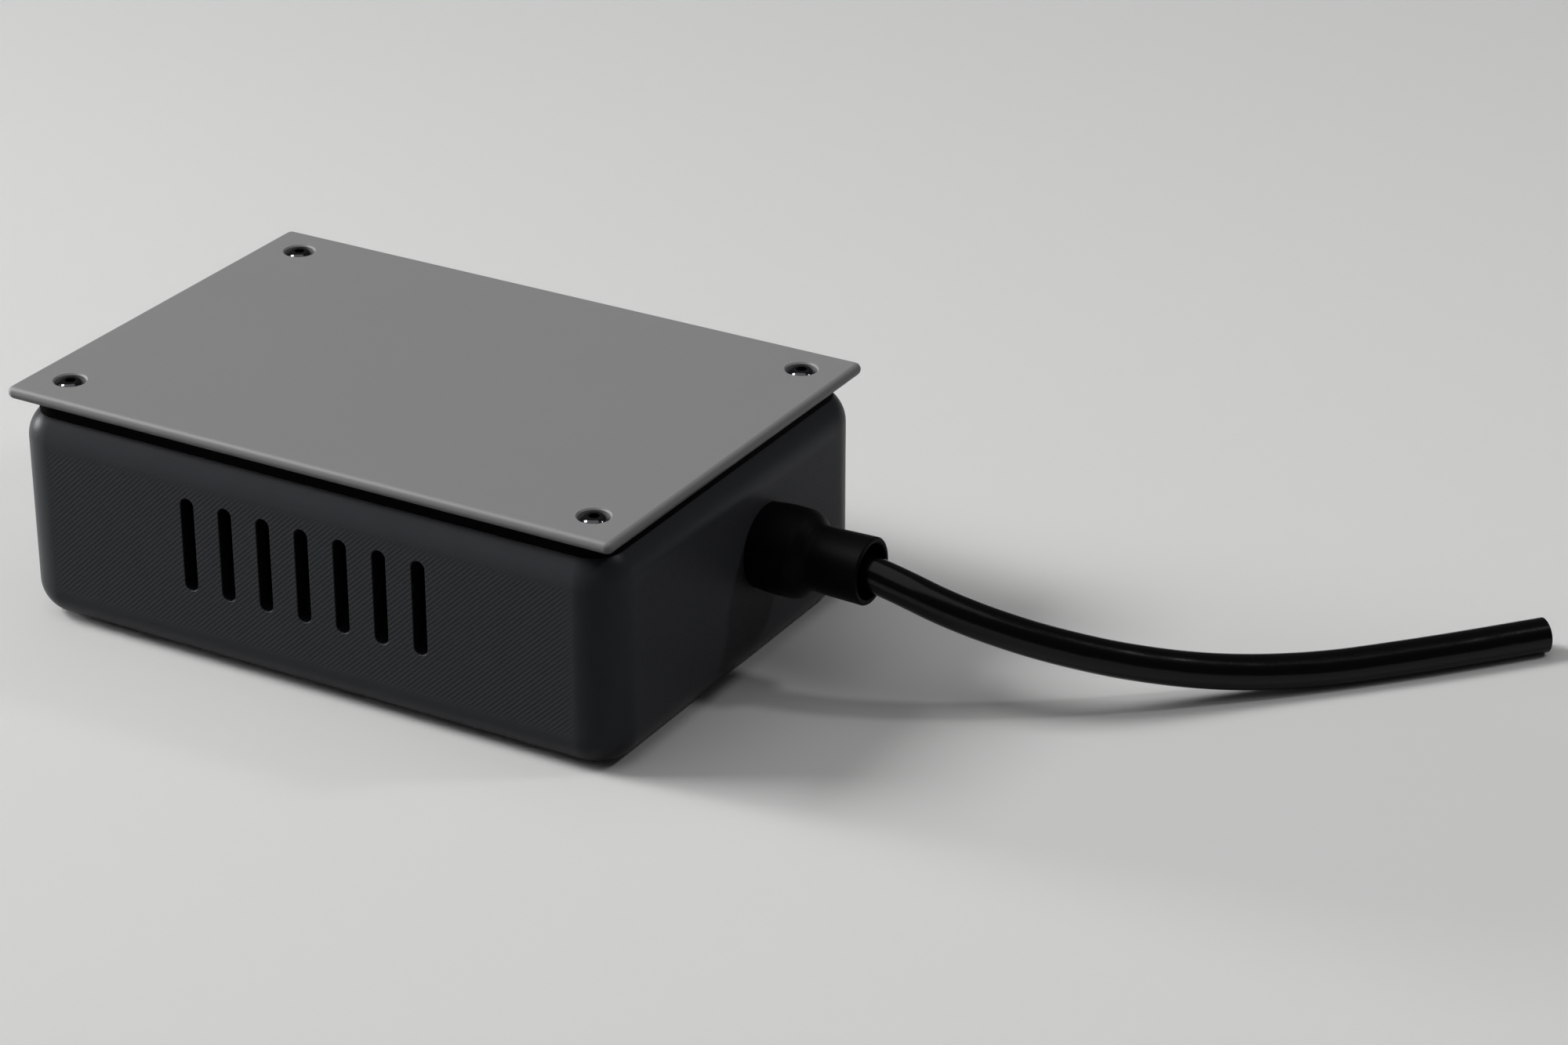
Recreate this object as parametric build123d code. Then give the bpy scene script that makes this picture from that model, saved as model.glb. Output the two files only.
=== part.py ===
from build123d import *
import math
import os

# A vented plastic enclosure with a screwed cover plate, a lead and the circuit board inside.
# Millimetres. The origin is the centre of the underside, +X runs to the lead's end and
# the vent slots face -Y.

# Moulded body
body_length = 137.4
body_width = 93.0
wall = 2.8
floor_thickness = 3.0
corner_radius = 8.6
edge_step = 1.3
rim_height = 43.5
rim_depth = 4.0

# Vent slots in the front wall
vent_count = 7
vent_pitch = 8.85
vent_width = 3.0
vent_length = 19.5
vent_margin = 2.75
vent_edge = 0.15

# Sealing frame on the rim
frame_inset = 2.5
frame_width = 3.5
frame_height = 3.2
tongue_width = 1.2
tongue_depth = 1.2

# Cover plate and its screws
cover_thickness = 2.5
cover_overhang = 0.2
cover_corner = 1.5
screw_inset = 8.7
block_reach = 4.9
screw_radius = 1.5
cover_screw_length = 10.0
head_radius = 2.85
head_height = 1.65
head_top_radius = 1.75
socket_flats = 2.0
socket_depth = 1.0
counterbore_gap = 0.25
counterbore_edge = 0.3
nose_flat = 0.02
insert_radius = 2.3
insert_length = 5.7
insert_groove = 0.35
pilot_depth = 12.0
screw_point = 0.3
dome_rise = 0.62
dome_swell = 0.68
least_corner = 0.5

# Strain relief boot in the right-hand wall, and the lead through it
cable_y = 9.0
cable_height = 25.5
cord_radius = 3.5
boot_length = 23.2
bell_radius = 8.5
bell_swell = 0.4
bell_length = 9.4
sleeve_start = 11.6
sleeve_radius = 6.4
mouth_radius = 6.7
mouth_wall = 1.2
mouth_depth = 10.2
bell_rounding = 2.2
sleeve_rounding = 2.4
lip_rounding = 0.45
neck_radius = 6.4
boot_flange_radius = 8.2
boot_flange = 2.5

# Free lead: distance beyond the boot's seat, distance beside its axis, height of the centre
cord_floor = cord_radius + 0.02
cord_route = [
    (0, 0, cable_height),
    (8.3, 0, cable_height),
    (16.3, 0.2, 23.9),
    (24.3, 1.6, 21.0),
    (32.8, 4.7, 17.8),
    (43.3, 10.3, 13.8),
    (55.8, 19.3, 9.2),
    (69.3, 31.0, 5.3),
    (83.3, 44.2, cord_floor),
    (96.3, 57.8, cord_floor),
    (106.6, 69.4, cord_floor),
    (115.5, 79.9, cord_floor),
]
bend_share = 0.45

# Cradle and clamp that hold the lead inside
cradle_length = 7.0
cradle_gap = 0.6
clamp_thickness = 2.0
clamp_gap = 0.3
clamp_edge = 3.2
clamp_head_gap = 0.3
clamp_screw_radius = 1.25
clamp_screw_length = 8.0
clamp_head_radius = 2.3
clamp_head_height = 1.5
sheath_stub = 4.0
core_radius = 0.95
core_spacing = 2.1
core_run = 5.0

# Circuit board and its pillars
board_clearance = 1.0
board_thickness = 1.6
board_corner = 2.0
pillar_height = 6.0
pillar_radius = 3.5
board_screw_inset = 5.0
board_screw_length = 6.0
board_head_radius = 2.75
board_head_height = 1.9

# Clearances between pieces
screw_clearance = 0.2
thread_clearance = 0.05
press_clearance = 0.05
slip_clearance = 0.1
part_gap = 1.0

# Terminal block, in ways of one pitch
terminal_pitch = 5.08
terminal_ways = 3
terminal_depth = 10.2
terminal_height = 12.5
terminal_from_end = 24.0
terminal_entry_radius = 1.7
terminal_entry_height = 5.0
terminal_entry_depth = 6.0
terminal_chamfer = 2.0
terminal_screw_radius = 1.9
terminal_screw_height = 2.8
terminal_well = 3.4
slot_width = 0.6
slot_depth = 0.8

# Fuse in two clips
fuse_length = 20.0
fuse_radius = 2.6
fuse_cap_length = 5.0
fuse_cap_wall = 0.25
fuse_axis_height = 5.5
fuse_from_end = 20.0
fuse_from_back = 7.0
clip_length = 4.4
clip_wall = 0.4
clip_opening = 3.6
clip_foot_width = 3.2

# Transformer
core_stack = 18.0
limb_width = 10.0
yoke = 5.0
window_width = 5.0
window_height = 15.0
bobbin_wall = 0.8
winding_margin = 0.4
winding_corner = 2.0

# Choke
choke_outer_radius = 7.6
choke_inner_radius = 4.0
choke_height = 7.0
choke_turns = 12
choke_wire = 0.9
choke_span = 300.0

# Bridge rectifier
bridge_length = 12.0
bridge_thickness = 4.0
bridge_height = 10.0
bridge_corner = 2.5
bridge_from_back = 10.0
lead_thickness = 0.6
lead_width = 0.8
lead_standoff = 2.0

# Smoothing capacitors
can_radius = 6.25
can_height = 25.0
can_rounding = 1.2
can_groove_height = 3.5
can_groove_depth = 0.7
can_from_end = 8.0

# Film capacitor
film_length = 18.0
film_thickness = 7.0
film_height = 14.0
film_rounding = 0.8
film_from_end = 20.0
film_from_terminal = 4.0

# Heat sink and regulator
sink_end = 1.2
sink_height = 25.0
sink_spine = 3.0
sink_fin = 1.6
sink_fin_pitch = 6.0
sink_fin_count = 10
sink_depth = 14.0
sink_from_front = 1.0
regulator_width = 10.0
regulator_tab = 1.3
regulator_tab_height = 15.5
regulator_body_height = 9.2
regulator_body_depth = 4.4
regulator_lift = 4.0
regulator_hole_height = 13.0
regulator_screw_length = 4.6
regulator_lead_pitch = 2.54

# Controller chip and resistors
chip_length = 9.6
chip_width = 6.4
chip_height = 3.3
chip_lift = 0.8
chip_legs = 4
chip_pitch = 2.54
chip_leg_reach = 0.8
chip_from_end = 15.0
chip_from_back = 6.0
resistor_radius = 1.2
resistor_length = 6.5
resistor_count = 4
resistor_pitch = 5.0
resistor_lead_reach = 1.6
resistor_from_back = 5.0

# Places that follow from the sizes above
half_length = body_length / 2
half_width = body_width / 2
edge_round = corner_radius - edge_step
inner_round = edge_round - wall
crown_height = rim_height + edge_round - math.sqrt(edge_round**2 - (edge_round - frame_inset) ** 2)
vent_height = crown_height - edge_round - vent_margin - vent_length / 2
opening_inset = frame_inset + frame_width
tongue_inset = frame_inset + frame_width / 2
cover_bottom = rim_height + frame_height
cover_top = cover_bottom + cover_thickness
screw_x = half_length - screw_inset
screw_y = half_width - screw_inset
screw_hole_radius = screw_radius + screw_clearance
counterbore_radius = head_radius + counterbore_gap
boot_seat = half_length + boot_length - mouth_depth
flange_end = half_length - wall - boot_flange
cradle_x = flange_end - cradle_gap - cradle_length / 2
arch_radius = cord_radius + press_clearance + clamp_thickness
clamp_screw_offset = arch_radius + clamp_head_gap + clamp_head_radius
cradle_width = 2 * (clamp_screw_offset + clamp_edge)
sheath_end = cradle_x - cradle_length / 2 - sheath_stub
board_length = 2 * (screw_x - block_reach - board_clearance)
board_width = 2 * (screw_y - block_reach - board_clearance)
board_bottom = floor_thickness + pillar_height
board_top = board_bottom + board_thickness
board_end = board_length / 2
board_back = board_width / 2
board_screw_x = board_end - board_screw_inset
board_screw_y = board_back - board_screw_inset
terminal_x = board_end - terminal_from_end
terminal_front = terminal_x + terminal_depth / 2
terminal_width = terminal_ways * terminal_pitch
fuse_x = board_end - fuse_from_end
fuse_y = board_back - fuse_from_back
sink_front = -board_back + sink_from_front
sink_back = sink_front + sink_depth
sink_length = (sink_fin_count - 1) * sink_fin_pitch + sink_fin + 2 * sink_end
core_width = 2 * (limb_width + window_width)
core_height = window_height + 2 * yoke
winding_fill = window_width - bobbin_wall - 2 * slip_clearance - winding_margin
flange_reach = core_stack / 2 + window_width
choke_reach = choke_outer_radius + press_clearance + choke_wire
choke_x = terminal_x - terminal_depth / 2 - part_gap - choke_reach
transformer_x = choke_x - choke_reach - part_gap - core_width / 2
transformer_y = sink_back + regulator_body_depth + part_gap + flange_reach
choke_y = transformer_y
bridge_x = fuse_x - fuse_length / 2 - part_gap - bridge_length / 2
chip_y = board_back - chip_from_back
can_back_y = chip_y - chip_width / 2 - chip_leg_reach - part_gap - can_radius
can_front_y = can_back_y - 2 * can_radius - part_gap
film_y = cable_y - terminal_width / 2 - film_from_terminal - film_thickness / 2


def corners(x, y):
    """Four places, one in each corner."""
    return [Pos(i * x, j * y) for i in (-1, 1) for j in (-1, 1)]


def inset_outline(inset):
    """Rounded outline that lies a given distance inside the body's sides."""
    radius = max(corner_radius - inset, least_corner)
    return RectangleRounded(body_length - 2 * inset, body_width - 2 * inset, radius)


def box_on(length, width, height, bottom):
    """Box centred in plan that stands at a given height."""
    return Pos(0, 0, bottom) * Box(length, width, height, align=(Align.CENTER, Align.CENTER, Align.MIN))


def rod(radius, bottom, top):
    """Upright cylinder between two heights."""
    return Pos(0, 0, bottom) * Cylinder(radius, top - bottom, align=(Align.CENTER, Align.CENTER, Align.MIN))


def corner_blocks(bottom, top):
    """Blocks in the body's corners that hold the cover screws, rounded towards the middle."""
    reach_in = screw_inset + block_reach
    size = reach_in - wall / 2
    place_x = half_length - wall / 2 - size / 2
    place_y = half_width - wall / 2 - size / 2
    block = Sketch()
    for i in (-1, 1):
        for j in (-1, 1):
            square = Pos(i * place_x, j * place_y) * Rectangle(size, size)
            inner = square.vertices().sort_by_distance(Vector(0, 0, 0))[0]
            block += fillet(inner, block_reach)
    return Pos(0, 0, bottom) * extrude(block, top - bottom)


def outer_form():
    """Body as a solid block: large rounded edges, cut flat where the sealing frame seats."""
    block = extrude(inset_outline(0), crown_height)
    block = fillet(block.faces().sort_by(Axis.Z)[-1].edges(), edge_round)
    block = fillet(block.faces().sort_by(Axis.Z)[0].edges(), edge_round)
    return split(block, Plane.XY.offset(rim_height), keep=Keep.BOTTOM)


def cavity():
    """Space inside the body, with a thicker rim at its mouth."""
    rim_bottom = rim_height - rim_depth
    slope_bottom = rim_bottom - (opening_inset - wall)
    room = Pos(0, 0, floor_thickness) * extrude(inset_outline(wall), slope_bottom - floor_thickness)
    room = fillet(room.faces().sort_by(Axis.Z)[0].edges(), inner_round)
    lower = Pos(0, 0, slope_bottom) * inset_outline(wall)
    upper = Pos(0, 0, rim_bottom) * inset_outline(opening_inset)
    mouth = Pos(0, 0, rim_bottom) * extrude(inset_outline(opening_inset), rim_depth + 1)
    return room + loft([lower, upper]) + mouth


def vent_slots():
    """Row of upright slots through the front wall."""
    slot = Plane.XZ * (Rot(0, 0, 90) * SlotOverall(vent_length, vent_width))
    cutter = Pos(0, 1 - half_width + wall, vent_height) * extrude(slot, wall + 2)
    span = (vent_count - 1) * vent_pitch
    return [Pos(i * vent_pitch - span / 2, 0, 0) * cutter for i in range(vent_count)]


def tongue_ring(width, bottom, top):
    """Ring under the sealing frame, or its groove in the rim."""
    ring = inset_outline(tongue_inset - width / 2) - inset_outline(tongue_inset + width / 2)
    return Pos(0, 0, bottom) * extrude(ring, top - bottom)


def cable_cradle():
    """Post on the floor with a half-round seat for the lead and two screw holes."""
    top = cable_height - clamp_gap
    bottom = floor_thickness / 2
    post = Pos(cradle_x, cable_y) * box_on(cradle_length, cradle_width, top - bottom, bottom)
    seat = Rot(0, 90, 0) * Cylinder(cord_radius + press_clearance, cradle_length + 2)
    post -= Pos(cradle_x, cable_y, cable_height) * seat
    for side in (-1, 1):
        hole = rod(clamp_screw_radius + thread_clearance, top - clamp_screw_length, top + 1)
        post -= Pos(cradle_x, cable_y + side * clamp_screw_offset) * hole
    return post


def base_shell():
    """Moulded body with vents, screw blocks, board pillars, cable hole and cradle."""
    outer = outer_form()
    shell = outer - cavity()
    shell += corner_blocks(floor_thickness / 2, rim_height + 1) & outer
    pillar = rod(pillar_radius, floor_thickness / 2, board_bottom)
    for place in corners(board_screw_x, board_screw_y):
        shell += place * pillar
    shell += cable_cradle()
    shell -= vent_slots()
    mouths = shell.faces().filter_by(Axis.Y).sort_by(Axis.Y)[0].inner_wires().edges()
    shell = chamfer(mouths, vent_edge)
    neck_hole = Cylinder(neck_radius + press_clearance, 2 * wall + 2)
    shell -= Pos(half_length - wall / 2, cable_y, cable_height) * Rot(0, 90, 0) * neck_hole
    groove_bottom = rim_height - tongue_depth - slip_clearance
    shell -= tongue_ring(tongue_width + 2 * slip_clearance, groove_bottom, rim_height + 1)
    insert_hole = rod(insert_radius + press_clearance, rim_height - insert_length, rim_height + 1)
    pilot = rod(screw_radius + screw_clearance, rim_height - pilot_depth, rim_height)
    for place in corners(screw_x, screw_y):
        shell -= place * (insert_hole + pilot)
    board_pilot = rod(screw_radius + thread_clearance, board_bottom - board_screw_length, board_bottom + 1)
    for place in corners(board_screw_x, board_screw_y):
        shell -= place * board_pilot
    return shell


def sealing_frame():
    """Rubber frame between rim and cover, with screw pads in its corners and a tongue below."""
    ring = extrude(inset_outline(frame_inset) - inset_outline(opening_inset), frame_height)
    edge = extrude(inset_outline(frame_inset), frame_height)
    ring += corner_blocks(0, frame_height) & edge
    frame = Pos(0, 0, rim_height) * ring
    frame += tongue_ring(tongue_width, rim_height - tongue_depth, rim_height + tongue_depth)
    for place in corners(screw_x, screw_y):
        frame -= place * rod(screw_hole_radius, rim_height - 1, cover_bottom + 1)
    return frame


def cover_plate():
    """Flat plate with round-nosed edges and a counterbored hole over each screw block."""
    length = body_length + 2 * cover_overhang
    width = body_width + 2 * cover_overhang
    outline = RectangleRounded(length, width, cover_corner)
    plate = Pos(0, 0, cover_bottom) * extrude(outline, cover_thickness)
    nose = min(cover_thickness / 2, cover_corner) - nose_flat
    plate = fillet(plate.faces().filter_by(Axis.Z).edges(), nose)
    for place in corners(screw_x, screw_y):
        plate -= place * rod(screw_hole_radius, cover_bottom - 1, cover_top + 1)
        plate -= place * rod(counterbore_radius, cover_top - head_height, cover_top + 1)
    rims = plate.faces().sort_by(Axis.Z)[-1].inner_wires().edges()
    return chamfer(rims, counterbore_edge)


def button_screw(radius, length, crown_radius, head_rise, flat_radius):
    """Button head screw with a hexagon socket, standing with the underside of its head at Z=0."""
    rise = head_rise * dome_rise
    swell = flat_radius + (crown_radius - flat_radius) * dome_swell
    tip = radius - screw_point
    outline = Polyline((0, -length), (tip, -length), (radius, screw_point - length), (radius, 0))
    outline += Line((radius, 0), (crown_radius, 0))
    outline += ThreePointArc((crown_radius, 0), (swell, rise), (flat_radius, head_rise))
    outline += Polyline((flat_radius, head_rise), (0, head_rise), (0, -length))
    screw = revolve(Plane.XZ * make_face(outline.edges()), Axis.Z)
    socket = extrude(RegularPolygon(socket_flats / 2, 6, major_radius=False), socket_depth + 1)
    return screw - Pos(0, 0, head_rise - socket_depth) * socket


def cover_screws():
    """One screw in each counterbore, its top level with the plate."""
    screw = button_screw(screw_radius, cover_screw_length, head_radius, head_height, head_top_radius)
    return [place * Pos(0, 0, cover_top - head_height) * screw for place in corners(screw_x, screw_y)]


def threaded_inserts():
    """Brass insert in each screw block, with a groove round its middle."""
    tube = rod(insert_radius, rim_height - insert_length, rim_height)
    middle = rim_height - insert_length / 2
    groove = rod(insert_radius + 1, middle - insert_groove, middle + insert_groove)
    groove -= rod(insert_radius - insert_groove, middle - insert_groove, middle + insert_groove)
    tube -= groove
    tube -= rod(screw_radius + thread_clearance, rim_height - insert_length - 1, rim_height + 1)
    return [place * tube for place in corners(screw_x, screw_y)]


def strain_relief():
    """Rubber boot turned about the lead: bell, sleeve with an open mouth, neck and inner flange."""
    bore = cord_radius + slip_clearance
    inside = -(wall + boot_flange)
    points = [
        (0, bell_radius),
        (bell_length / 2, bell_radius + bell_swell),
        (bell_length, bell_radius + bell_swell / 2),
        (sleeve_start, sleeve_radius),
        (boot_length, mouth_radius),
        (boot_length, mouth_radius - mouth_wall),
        (boot_length - mouth_depth, mouth_radius - mouth_wall),
        (boot_length - mouth_depth, bore),
        (inside, bore),
        (inside, boot_flange_radius - boot_flange / 2),
        (-wall, boot_flange_radius),
        (-wall, neck_radius),
        (0, neck_radius),
    ]
    section = make_face(Polyline(points, close=True).edges())
    rounding = {1: bell_length, 2: bell_rounding, 3: sleeve_rounding, 4: lip_rounding, 5: lip_rounding}
    for number, radius in rounding.items():
        spot = Vector(*points[number])
        section = fillet(section.vertices().sort_by_distance(spot)[0], radius)
    boot = revolve(section, Axis.X)
    return Pos(half_length, cable_y, cable_height) * boot


def bend_radii(points):
    """Largest even arcs for a route's corners, each within its two runs."""
    radii = []
    for before, here, after in zip(points, points[1:], points[2:]):
        turn = math.radians((here - before).get_angle(after - here))
        run = min((here - before).length, (after - here).length)
        radii.append(bend_share * run / math.tan(turn / 2))
    return radii


def tube(points, radius, label):
    """Round tube along straight runs joined by tangent arcs."""
    radii = bend_radii(points)
    path = FilletPolyline(*points, radius=radii)
    start = Plane(path @ 0, z_dir=path % 0)
    solid = sweep(start * Circle(radius), path=path)
    expected = math.pi * radius**2 * path.length
    print(f"{label}: {path.length:.1f} long, volume {solid.volume / expected:.4f} of section times length")
    print(f"{label}: radii " + " ".join(f"{bend:.1f}" for bend in radii))
    return solid


def cord():
    """Free lead from its seat in the boot to its cut end on the floor."""
    points = [Vector(boot_seat + along, cable_y + beside, height) for along, beside, height in cord_route]
    return tube(points, cord_radius, "cord")


def cord_inner():
    """Lead through the boot and the wall to where its sheath is stripped."""
    length = boot_seat - sheath_end
    stub = Cylinder(cord_radius, length, align=(Align.CENTER, Align.CENTER, Align.MIN))
    return Pos(sheath_end, cable_y, cable_height) * Rot(0, 90, 0) * stub


def core_wire(position):
    """One core of the lead, down from the stripped sheath into its terminal."""
    entry_height = board_top + terminal_entry_height
    start_y = cable_y + position * core_spacing
    entry_y = cable_y + position * terminal_pitch
    points = [
        Vector(sheath_end, start_y, cable_height),
        Vector(sheath_end - core_run, start_y, cable_height),
        Vector(terminal_front + core_run, entry_y, entry_height),
        Vector(terminal_front - terminal_entry_depth + slip_clearance, entry_y, entry_height),
    ]
    return tube(points, core_radius, "core wire")


def cord_clamp():
    """Saddle over the lead with a screw hole in each wing."""
    wings = box_on(cradle_length, cradle_width, clamp_thickness, 0)
    arch = Rot(0, 90, 0) * Cylinder(arch_radius, cradle_length)
    clamp = wings + (arch & box_on(cradle_length, cradle_width, cradle_width, 0))
    clamp -= Rot(0, 90, 0) * Cylinder(cord_radius + press_clearance, cradle_length + 2)
    hole = rod(clamp_screw_radius + screw_clearance, -1, clamp_thickness + 1)
    for side in (-1, 1):
        clamp -= Pos(0, side * clamp_screw_offset) * hole
    return Pos(cradle_x, cable_y, cable_height) * clamp


def clamp_screws():
    """Two small screws that pull the saddle down."""
    screw = button_screw(
        clamp_screw_radius, clamp_screw_length, clamp_head_radius, clamp_head_height, clamp_head_radius / 2
    )
    seat = cable_height + clamp_thickness
    return [Pos(cradle_x, cable_y + side * clamp_screw_offset, seat) * screw for side in (-1, 1)]


def circuit_board():
    """Board with a screw hole in each corner."""
    outline = RectangleRounded(board_length, board_width, board_corner)
    board = Pos(0, 0, board_bottom) * extrude(outline, board_thickness)
    for place in corners(board_screw_x, board_screw_y):
        board -= place * rod(screw_hole_radius, board_bottom - 1, board_top + 1)
    return board


def board_screws():
    """One screw through each corner of the board into its pillar."""
    crown = board_head_radius / 2
    screw = button_screw(screw_radius, board_screw_length, board_head_radius, board_head_height, crown)
    return [place * Pos(0, 0, board_top) * screw for place in corners(board_screw_x, board_screw_y)]


def terminal_places():
    """Centres of the terminals, one pitch apart along Y."""
    first = -(terminal_ways - 1) / 2
    return [cable_y + (first + i) * terminal_pitch for i in range(terminal_ways)]


def terminal_block():
    """Moulded block with a wire entry and a screw well for each way."""
    block = box_on(terminal_depth, terminal_width, terminal_height, board_top)
    top_edge = block.edges().filter_by(Axis.Y).group_by(Axis.Z)[-1].sort_by(Axis.X)[-1]
    block = Pos(terminal_x, cable_y) * chamfer(top_edge, terminal_chamfer)
    top = board_top + terminal_height
    entry_height = board_top + terminal_entry_height
    entry = Rot(0, 90, 0) * rod(terminal_entry_radius, -terminal_entry_depth, 1)
    well = rod(terminal_screw_radius + slip_clearance, top - terminal_well, top + 1)
    for y in terminal_places():
        block -= Pos(terminal_front, y, entry_height) * entry
        block -= Pos(terminal_x, y) * well
    return block


def terminal_screws():
    """Slotted screw at the bottom of each well."""
    bottom = board_top + terminal_height - terminal_well
    top = bottom + terminal_screw_height
    head = rod(terminal_screw_radius, bottom, top)
    head -= box_on(slot_width, 2 * terminal_screw_radius + 1, slot_depth, top - slot_depth)
    return [Pos(terminal_x, y) * head for y in terminal_places()]


def fuse_tube():
    """Glass tube of the fuse, lying along X."""
    glass = Cylinder(fuse_radius - fuse_cap_wall - slip_clearance / 2, fuse_length - 2 * fuse_cap_wall)
    return Pos(fuse_x, fuse_y, board_top + fuse_axis_height) * Rot(0, 90, 0) * glass


def fuse_caps():
    """Metal cap on each end of the fuse."""
    end = fuse_length / 2
    inner = end - fuse_cap_length
    cap = rod(fuse_radius, inner, end) - rod(fuse_radius - fuse_cap_wall, inner - 1, end - fuse_cap_wall)
    middle = Pos(fuse_x, fuse_y, board_top + fuse_axis_height)
    right = middle * Rot(0, 90, 0) * cap
    left = middle * Rot(0, -90, 0) * cap
    return [right, left]


def fuse_clips():
    """Spring clip under each cap, open at the top."""
    inner = fuse_radius + press_clearance
    outer = inner + clip_wall
    ring = Circle(outer) - Circle(inner) - Pos(0, outer) * Rectangle(clip_opening, 2 * outer)
    foot_height = fuse_axis_height - inner
    foot = Pos(0, -fuse_axis_height + foot_height / 2) * Rectangle(clip_foot_width, foot_height)
    profile = ring + (foot - Circle(inner))
    clip = extrude(Plane.YZ * profile, clip_length / 2, both=True)
    reach = fuse_length / 2 - fuse_cap_length / 2
    height = board_top + fuse_axis_height
    return [Pos(fuse_x + side * reach, fuse_y, height) * clip for side in (-1, 1)]


def transformer_core():
    """Laminated core: an outer frame and a middle limb."""
    core = box_on(core_width, core_stack, core_height, 0)
    offset = limb_width / 2 + window_width / 2
    for side in (-1, 1):
        core -= Pos(side * offset) * box_on(window_width, core_stack + 2, window_height, yoke)
    return Pos(transformer_x, transformer_y, board_top) * core


def transformer_bobbin():
    """Spool on the middle limb with a flange at each end."""
    height = window_height - 2 * slip_clearance
    inner_x = limb_width + 2 * slip_clearance
    inner_y = core_stack + 2 * slip_clearance
    reach = 2 * (window_width - 2 * slip_clearance)
    spool = box_on(inner_x + 2 * bobbin_wall, inner_y + 2 * bobbin_wall, height, 0)
    flange = box_on(inner_x + reach, inner_y + reach, bobbin_wall, 0)
    spool += flange + Pos(0, 0, height - bobbin_wall) * flange
    spool -= box_on(inner_x, inner_y, height + 2, -1)
    return Pos(transformer_x, transformer_y, board_top + yoke + slip_clearance) * spool


def transformer_winding():
    """Wound wire between the bobbin's flanges, rounded at its corners."""
    height = window_height - 4 * slip_clearance - 2 * bobbin_wall
    inner_x = limb_width + 2 * bobbin_wall + 4 * slip_clearance
    inner_y = core_stack + 2 * bobbin_wall + 4 * slip_clearance
    outline = RectangleRounded(inner_x + 2 * winding_fill, inner_y + 2 * winding_fill, winding_corner)
    winding = extrude(outline - Rectangle(inner_x, inner_y), height)
    bottom = board_top + yoke + bobbin_wall + 2 * slip_clearance
    return Pos(transformer_x, transformer_y, bottom) * winding


def choke_core():
    """Ring of the choke, lying flat on its windings."""
    ring = Cylinder(choke_outer_radius, choke_height) - Cylinder(choke_inner_radius, choke_height + 2)
    lift = choke_wire + press_clearance + choke_height / 2
    return Pos(choke_x, choke_y, board_top + lift) * ring


def choke_winding():
    """Separate turns of wire round the ring."""
    width = choke_outer_radius - choke_inner_radius + 2 * press_clearance
    height = choke_height + 2 * press_clearance
    turn = box_on(width + 2 * choke_wire, choke_wire, height + 2 * choke_wire, 0)
    turn -= box_on(width, choke_wire + 2, height, choke_wire)
    middle = (choke_outer_radius + choke_inner_radius) / 2
    step = choke_span / (choke_turns - 1)
    centre = Pos(choke_x, choke_y, board_top)
    return [centre * Rot(0, 0, i * step) * Pos(middle) * turn for i in range(choke_turns)]


def bridge_rectifier():
    """Upright moulded bridge with four leads down to the board."""
    body = box_on(bridge_length, bridge_thickness, bridge_height, lead_standoff)
    top_corner = body.edges().filter_by(Axis.Y).group_by(Axis.Z)[-1].sort_by(Axis.X)[-1]
    body = chamfer(top_corner, bridge_corner)
    pitch = bridge_length / 4
    lead = box_on(lead_width, lead_thickness, lead_standoff + 1, 0)
    for i in range(4):
        body += Pos((i - 1.5) * pitch) * lead
    return Pos(bridge_x, board_back - bridge_from_back, board_top) * body


def capacitor(y):
    """Upright can with a rounded top and a groove near its foot."""
    can = rod(can_radius, 0, can_height)
    can = fillet(can.faces().sort_by(Axis.Z)[-1].edges(), can_rounding)
    section = Pos(can_radius, can_groove_height) * Circle(can_groove_depth)
    can -= revolve(Plane.XZ * section, Axis.Z)
    return Pos(can_from_end - board_end, y, board_top) * can


def film_capacitor():
    """Boxed film capacitor, softened at its edges."""
    body = box_on(film_length, film_thickness, film_height, board_top)
    upper = body.edges() - body.faces().sort_by(Axis.Z)[0].edges()
    return Pos(board_end - film_from_end, film_y) * fillet(upper, film_rounding)


def heat_sink():
    """Extruded fins behind the vent slots, with a tapped hole in the spine."""
    profile = Pos(0, sink_back - sink_spine / 2) * Rectangle(sink_length, sink_spine)
    fin_depth = sink_depth - sink_spine / 2
    fin = Pos(0, sink_front + fin_depth / 2) * Rectangle(sink_fin, fin_depth)
    first = -(sink_fin_count - 1) / 2
    for i in range(sink_fin_count):
        profile += Pos((first + i) * sink_fin_pitch) * fin
    sink = Pos(0, 0, board_top) * extrude(profile, sink_height)
    hole = Rot(90, 0, 0) * Cylinder(screw_radius + thread_clearance, 2 * sink_spine + 2)
    return sink - Pos(0, sink_back, board_top + regulator_lift + regulator_hole_height) * hole


def regulator():
    """Power regulator: metal tab against the spine, moulded body and three leads."""
    tab = Pos(0, regulator_tab / 2) * box_on(regulator_width, regulator_tab, regulator_tab_height, 0)
    middle = Pos(0, regulator_body_depth / 2)
    tab += middle * box_on(regulator_width, regulator_body_depth, regulator_body_height, 0)
    hole = Rot(90, 0, 0) * Cylinder(screw_hole_radius, 4 * regulator_tab)
    tab -= Pos(0, 0, regulator_hole_height) * hole
    lead = box_on(lead_width, lead_thickness, regulator_lift + 1, -regulator_lift)
    for i in (-1, 0, 1):
        tab += middle * Pos(i * regulator_lead_pitch) * lead
    return Pos(0, sink_back, board_top + regulator_lift) * tab


def regulator_screw():
    """Screw through the tab into the spine."""
    screw = button_screw(screw_radius, regulator_screw_length, head_radius, head_height, head_top_radius)
    height = board_top + regulator_lift + regulator_hole_height
    return Pos(0, sink_back + regulator_tab, height) * Rot(-90, 0, 0) * screw


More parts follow.
